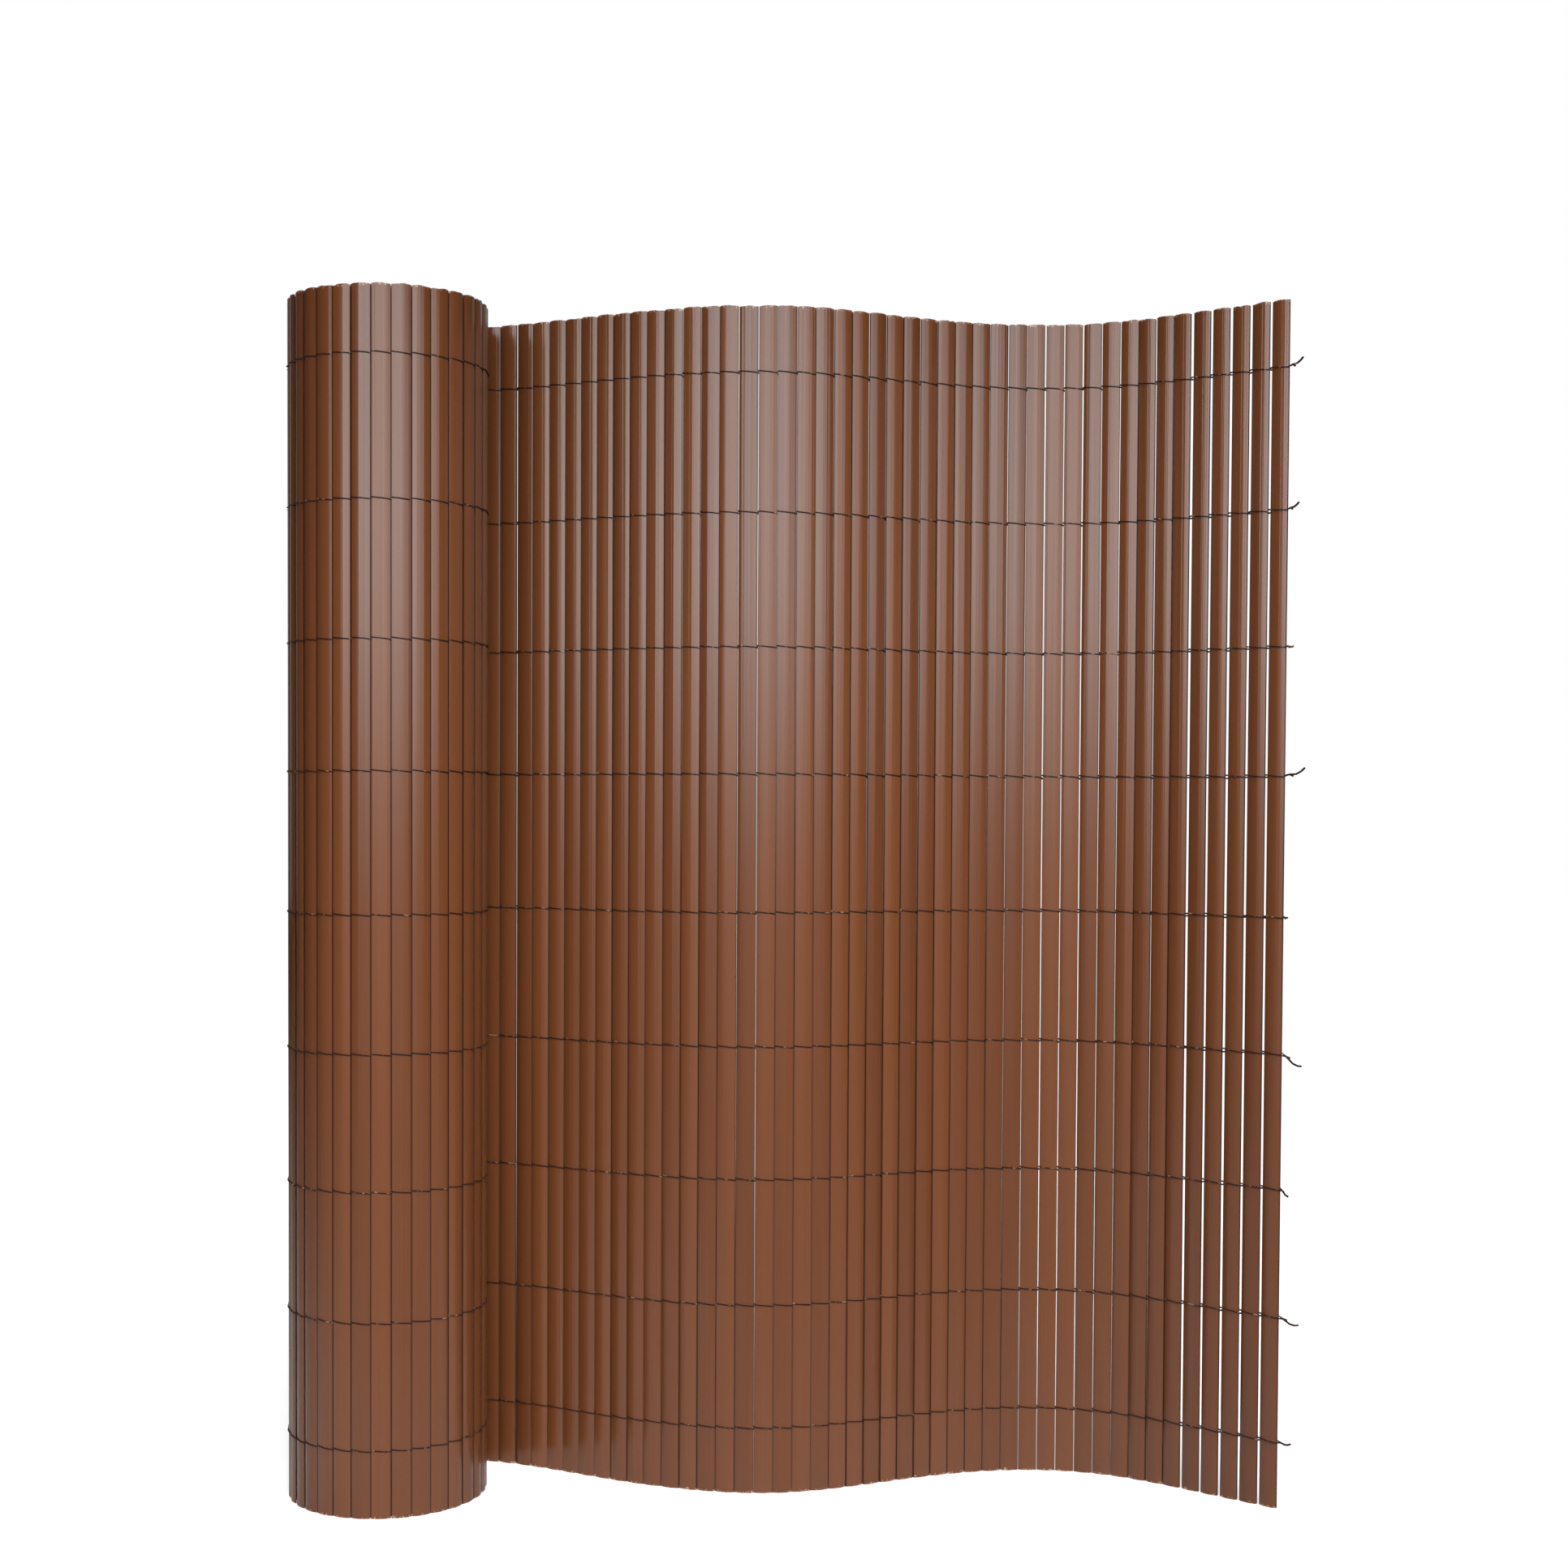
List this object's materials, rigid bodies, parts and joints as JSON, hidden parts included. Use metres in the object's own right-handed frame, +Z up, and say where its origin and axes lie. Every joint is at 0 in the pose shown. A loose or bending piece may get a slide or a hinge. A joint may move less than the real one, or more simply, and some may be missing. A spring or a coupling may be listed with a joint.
{
  "type": "pvc privacy screen",
  "caption": "Roll-up balcony privacy screen of brown hollow PVC slats tied with strings, standing on end with its last stretch drawn out as a wavy panel.",
  "frame": {"origin": "on the floor, in the middle of the screen's footprint", "axes": "+Z up along the slats; +X from the roll to the panel's free end; -Y is the side that the panel's face looks to"},
  "size_m": [0.7609, 0.1559, 0.9],
  "materials": {
    "slat_pvc": "satin",
    "tie_string": "matt twisted cord"
  },
  "bodies": {
    "root": {"panel_slat_01": "slat_pvc", "panel_slat_02": "slat_pvc", "panel_slat_03": "slat_pvc", "panel_slat_04": "slat_pvc", "panel_slat_05": "slat_pvc", "panel_slat_06": "slat_pvc", "panel_slat_07": "slat_pvc", "panel_slat_08": "slat_pvc", "panel_slat_09": "slat_pvc", "panel_slat_10": "slat_pvc", "panel_slat_11": "slat_pvc", "panel_slat_12": "slat_pvc", "panel_slat_13": "slat_pvc", "panel_slat_14": "slat_pvc", "panel_slat_15": "slat_pvc", "panel_slat_16": "slat_pvc", "panel_slat_17": "slat_pvc", "panel_slat_18": "slat_pvc", "panel_slat_19": "slat_pvc", "panel_slat_20": "slat_pvc", "panel_slat_21": "slat_pvc", "panel_slat_22": "slat_pvc", "panel_slat_23": "slat_pvc", "panel_slat_24": "slat_pvc", "panel_slat_25": "slat_pvc", "panel_slat_26": "slat_pvc", "panel_slat_27": "slat_pvc", "panel_slat_28": "slat_pvc", "panel_slat_29": "slat_pvc", "panel_slat_30": "slat_pvc", "panel_slat_31": "slat_pvc", "panel_slat_32": "slat_pvc", "panel_slat_33": "slat_pvc", "panel_slat_34": "slat_pvc", "panel_slat_35": "slat_pvc", "panel_slat_36": "slat_pvc", "panel_slat_37": "slat_pvc", "panel_slat_38": "slat_pvc", "panel_slat_39": "slat_pvc", "panel_slat_40": "slat_pvc", "panel_slat_41": "slat_pvc", "panel_slat_42": "slat_pvc", "panel_slat_43": "slat_pvc", "panel_slat_44": "slat_pvc", "panel_slat_45": "slat_pvc", "rolled_slats_turn_1": "slat_pvc", "rolled_slats_turn_2": "slat_pvc", "rolled_slats_turn_3": "slat_pvc", "rolled_slats_turn_4": "slat_pvc", "rolled_slats_turn_5": "slat_pvc", "rolled_slats_turn_6": "slat_pvc", "tie_string_1": "tie_string", "tie_string_2": "tie_string", "tie_string_3": "tie_string", "tie_string_4": "tie_string", "tie_string_5": "tie_string", "tie_string_6": "tie_string", "tie_string_7": "tie_string", "tie_string_8": "tie_string", "tie_string_9": "tie_string"}
  },
  "joints": []
}
